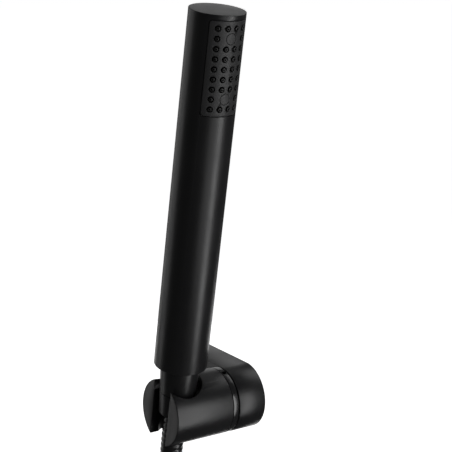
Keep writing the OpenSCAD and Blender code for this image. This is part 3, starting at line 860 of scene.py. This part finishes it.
def makeNut():
    bore = nut["bore"]
    relief = nut["relief"]
    profile = eased(
        [
            (bore, nutLow), (coneAt(nutLow), nutLow), (coneAt(nutHigh), nutHigh), (relief, nutHigh),
            (relief, nutHigh - nut["reliefDepth"]), (bore, nutLow + nut["step"]),
        ],
        [0, nut["footRound"], nut["topRound"], 0, 0, 0],
    )
    lathePiece("coneNut", profile, onHandset, "handset", finish["satinBlack"], ["cone_nut"])


def makeSleeve():
    bore = sleeve["bore"]
    neck = sleeve["neck"]
    shelf = sleeveHigh - sleeve["neckDepth"]
    profile = eased(
        [
            (bore, sleeveLow), (coneAt(sleeveLow), sleeveLow), (coneAt(sleeveHigh), sleeveHigh),
            (neck, sleeveHigh), (neck, shelf), (bore, shelf),
        ],
        [sleeve["boreRound"], sleeve["footRound"], sleeve["topRound"], 0, 0, 0],
    )
    lathePiece(
        "coneSleeve", profile, onHandset, "hose_end", finish["satinBlack"], ["cone_sleeve"])


makeNut()
makeSleeve()
print("nut and sleeve made")


holderLow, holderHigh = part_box("swivel_holder")
ringLow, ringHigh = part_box("trim_ring")
bodyLow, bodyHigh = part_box("bracket_body")
bracketR = (ringHigh.z - ringLow.z) / 2
reach = 30 * mm   # how far a cutter runs, past the bracket's radius
holder = {
    "edge": 0.55 * mm,
    "seatStep": 2 * mm,
    "seatRound": 0.25 * mm,
    "ringGap": 0.2 * mm,
    "slot": 17.2 * mm,
    "rim": 14.3 * mm,
    "rimFrom": 12 * mm,
    "liner": 13.35 * mm,
    "linerFrom": -5 * mm,
    "linerTo": 13 * mm,
    "exit": 10 * mm,
    "exitTo": -4 * mm,
    "bore": 6.05 * mm,
    "boreGap": 0.1 * mm,
    "bevel": 0.3 * mm,
}


def makeHolder():
    r = bracketR
    seat = r - holder["seatStep"]
    left = holderLow.x
    right = ringLow.x - holder["ringGap"]
    profile = eased(
        [(0, left), (r, left), (r, right), (seat, right), (seat, holderHigh.x), (0, holderHigh.x)],
        [0, holder["edge"], holder["seatRound"], 0, 0, 0],
    )
    verts, faces = latheData(profile, handset["sides"])
    body = meshFrom("holder", verts, faces, onSwivel)
    half = holder["slot"] / 2
    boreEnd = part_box("friction_washer")[0].x - holder["boreGap"]
    cutters = [
        cylinderMesh("rim", holder["rim"], holder["rimFrom"], reach, onHandset),
        cylinderMesh("well", holder["liner"], holder["linerFrom"], holder["linerTo"], onHandset),
        cylinderMesh("exit", holder["exit"], -reach, holder["exitTo"], onHandset),
        boxMesh("slot", (-reach, -half, -reach), (0, half, reach), onHandset),
        cylinderMesh("bore", holder["bore"], boreEnd, 0, onSwivel, 48),
        screwCutter(),
    ]
    mesh = carved(body, cutters, bevel=holder["bevel"])
    return addPiece(
        "swivelHolder", mesh, "holder", finish["satinBlack"], ["swivel_holder"], 30)


screw = {"angle": 17, "hole": 1.6 * mm, "from": 2 * mm}   # the angle is from upright, towards the room


def screwCutter():
    # Round hole for the tilt's set screw, square to the swivel axis, through the trim ring's middle.
    middle = Matrix.Translation(((ringLow.x + ringHigh.x) / 2, swivelPoint.y, 0))
    place = middle @ Matrix.Rotation(math.radians(screw["angle"]), 4, "X")
    return cylinderMesh("screwHole", screw["hole"], screw["from"], reach, place, 32)


ring = {"wall": 1.9 * mm, "round": 0.3 * mm, "bevel": 0.12 * mm}


def makeRing():
    r = bracketR
    inner = r - ring["wall"]
    profile = eased(
        [(inner, ringLow.x), (r, ringLow.x), (r, ringHigh.x), (inner, ringHigh.x)],
        [0, ring["round"], ring["round"], 0],
    )
    verts, faces = latheData(profile, handset["sides"])
    mesh = carved(meshFrom("ring", verts, faces, onSwivel), [screwCutter()], bevel=ring["bevel"])
    addPiece("trimRing", mesh, "holder", finish["glossBlack"], ["trim_ring"], 30)


bracketBody = {
    "wall": 2.5 * mm,
    "arcSteps": 96,
    "pocketPast": mm,   # past the wall face, so that the back is open
    "bevel": 0.28 * mm,
    "grubRadius": 2.1 * mm,
    "grubPlace": -8 * mm,   # along Y
    "grubTop": -15 * mm,
}


def halfRound(radius, back):
    # Outline in Y and Z: half round towards the room, straight to the place given.
    gap = -swivelPoint.y
    points = []
    for k in range(bracketBody["arcSteps"] + 1):
        a = math.pi * k / bracketBody["arcSteps"]
        points.append((-gap - radius * math.sin(a), radius * math.cos(a)))
    return points + [(back, -radius), (back, radius)]


def makeBody():
    # The fixed bracket, a shell open at its back.
    place = Matrix(((0, 0, 1, 0), (1, 0, 0, 0), (0, 1, 0, 0), (0, 0, 0, 1)))   # the prism's z along X
    wall = bracketBody["wall"]
    outer = prismMesh("bracketBody", halfRound(bracketR, 0), bodyLow.x, bodyHigh.x, place)
    inside = halfRound(bracketR - wall, bracketBody["pocketPast"])
    pocket = prismMesh("pocket", inside, bodyLow.x + wall, bodyHigh.x - wall, place)
    grub = Matrix.Translation((0, bracketBody["grubPlace"], 0))
    hole = cylinderMesh("grub", bracketBody["grubRadius"], -reach, bracketBody["grubTop"], grub, 32)
    mesh = carved(outer, [pocket, hole], bevel=bracketBody["bevel"])
    return addPiece(
        "bracketBody", mesh, "bracket", finish["satinBlack"], ["bracket_body"], 30)


makeHolder()
makeRing()
makeBody()
print("bracket made")


# The frame's own pieces take the finish of their slot
slotFinish = {
    "satin_black": "satinBlack", "face_black": "faceBlack", "soft_rubber": "softRubber",
    "gloss_black": "glossBlack", "seal_rubber": "sealRubber", "strap_rubber": "strapRubber",
    "steel": "steel", "grey_plastic": "greyPlastic", "liner_plastic": "linerPlastic",
    "raw_brass": "rawBrass", "hose_black": "hoseBlack",
}
for entry in frame["record"]["subparts"]:
    node = frame["nodes"][entry["node"]]
    node.data.materials.clear()
    node.data.materials.append(finish[slotFinish[entry["material_slot"]]])


studio = {
    "background": 1.0,
    "ambient": 0.06,
    "floor": -0.36,
    "floorHalf": 9,
    "floorPale": 0.9,
    "floorGlow": 0.95,
    "aim": (-0.03, -0.06, 0.1),   # the lamps point here
}


def makeStudio():
    world = bpy.data.worlds.new("studio")
    bpy.context.scene.world = world
    world.use_nodes = True
    nodes = world.node_tree.nodes
    links = world.node_tree.links
    nodes["Background"].inputs["Color"].default_value = (1, 1, 1, 1)
    nodes["Background"].inputs["Strength"].default_value = studio["ambient"]
    bright = nodes.new("ShaderNodeBackground")
    bright.inputs["Color"].default_value = (1, 1, 1, 1)
    bright.inputs["Strength"].default_value = studio["background"]
    rays = nodes.new("ShaderNodeLightPath")
    mix = nodes.new("ShaderNodeMixShader")
    links.new(rays.outputs["Is Camera Ray"], mix.inputs[0])
    links.new(nodes["Background"].outputs[0], mix.inputs[1])
    links.new(bright.outputs[0], mix.inputs[2])
    links.new(mix.outputs[0], nodes["World Output"].inputs["Surface"])
    bpy.context.scene.view_settings.view_transform = "Standard"

    half = studio["floorHalf"]
    corners = [(-half, -half, 0), (half, -half, 0), (half, half, 0), (-half, half, 0)]
    mesh = meshFrom("floor", corners, [[0, 1, 2, 3]], Matrix.Translation((0, 0, studio["floor"])))
    floor = scratchObject("floor", mesh)
    pale = studio["floorPale"]
    floorFinish, _, _, shader = nodeMaterial("floorPale", (pale, pale, pale), 0.9)
    shader.inputs["Emission Color"].default_value = (1, 1, 1, 1)
    shader.inputs["Emission Strength"].default_value = studio["floorGlow"]
    mesh.materials.append(floorFinish)
    floor.visible_diffuse = False   # the backdrop stays white, and sends no light back to the part
    floor.visible_glossy = False


lamps = {   # degrees round the part and above it, metres away, size, power
    "keySoftbox": (26, -12, 1.2, (0.3, 1.4), 7),
    "frontFill": (0, -5, 1.4, (0.75, 1.4), 3),
    "leftSoftbox": (-170, 10, 1.3, (0.5, 1.4), 1.6),
    "sideSoftbox": (-143, -3, 1.3, (0.4, 1.5), 1.6),
    "rightRim": (148, 3, 1.3, (0.4, 1.3), 1.2),
    "topSoftbox": (150, 60, 1.3, (0.9, 0.9), 0.65),
    "backGlow": (146, -34, 1.2, (1.6, 0.5), 4),
    "roomFill": (95, 35, 1.5, (0.8, 1.0), 4),
}


def addLight(name, turn, height, distance, size, power):
    # A soft rectangular lamp, placed by its direction from the part.
    data = bpy.data.lights.new(name, "AREA")
    data.shape = "RECTANGLE"
    data.size, data.size_y = size
    data.energy = power
    lamp = bpy.data.objects.new(name, data)
    bpy.context.scene.collection.objects.link(lamp)
    back = directionFrom(turn, height)
    lamp.location = Vector(studio["aim"]) + back * distance
    lamp.rotation_mode = "QUATERNION"
    lamp.rotation_quaternion = (-back).to_track_quat("-Z", "Y")


makeStudio()
for name, values in lamps.items():
    addLight(name, *values)
print("studio lit")
